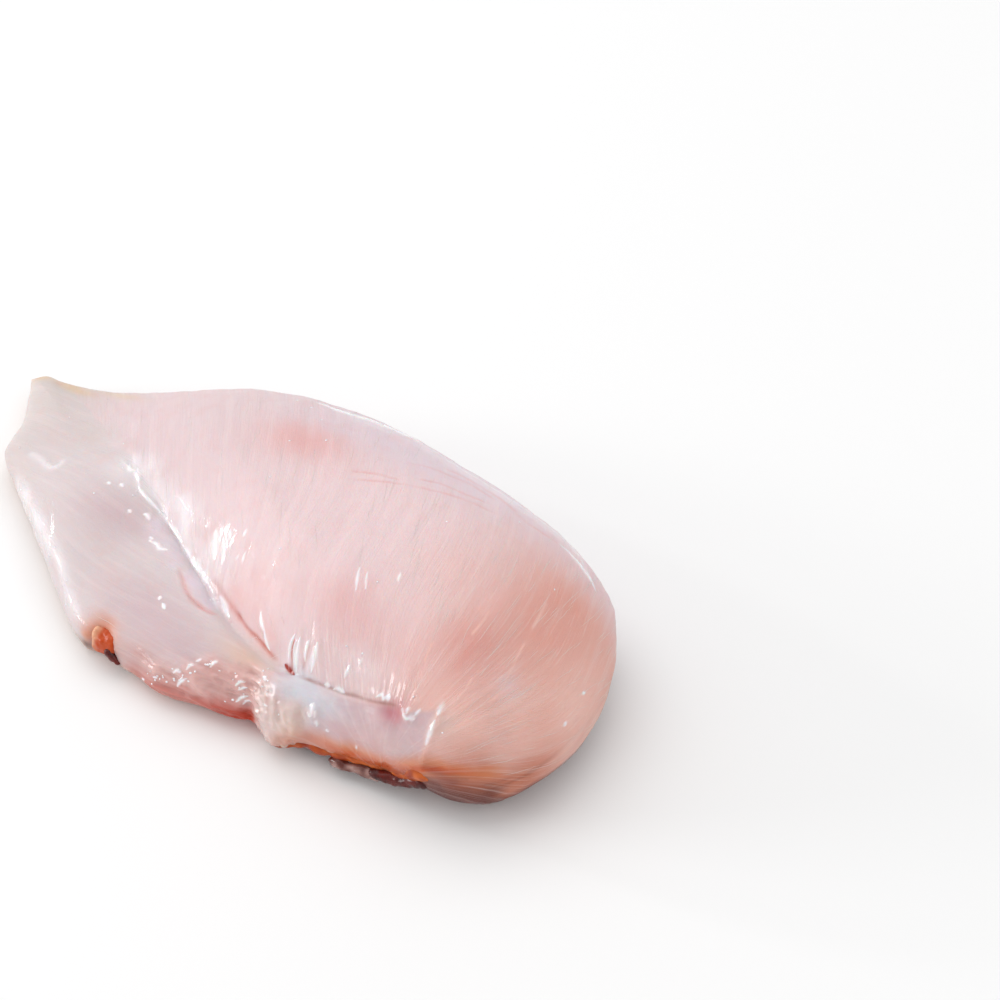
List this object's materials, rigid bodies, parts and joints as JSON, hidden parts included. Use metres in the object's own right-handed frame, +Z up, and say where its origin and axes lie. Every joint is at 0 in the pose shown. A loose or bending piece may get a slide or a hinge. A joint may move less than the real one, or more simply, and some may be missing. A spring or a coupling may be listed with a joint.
{
  "type": "raw chicken breast",
  "caption": "Skinless raw chicken breast lying flat: a plump lobe that tapers to a thin tip, with a thin flap and a band of sheath along one side.",
  "frame": {"origin": "centre of the bounding box, on the surface the piece lies on", "axes": "+X along the length towards the blunt end, +Y towards the keel edge, +Z up out of the outer side"},
  "size_m": [0.1922, 0.0924, 0.0388],
  "materials": {
    "raw_flesh": "moist, pale pink raw flesh"
  },
  "bodies": {
    "root": {"breast": "raw_flesh"}
  },
  "joints": []
}
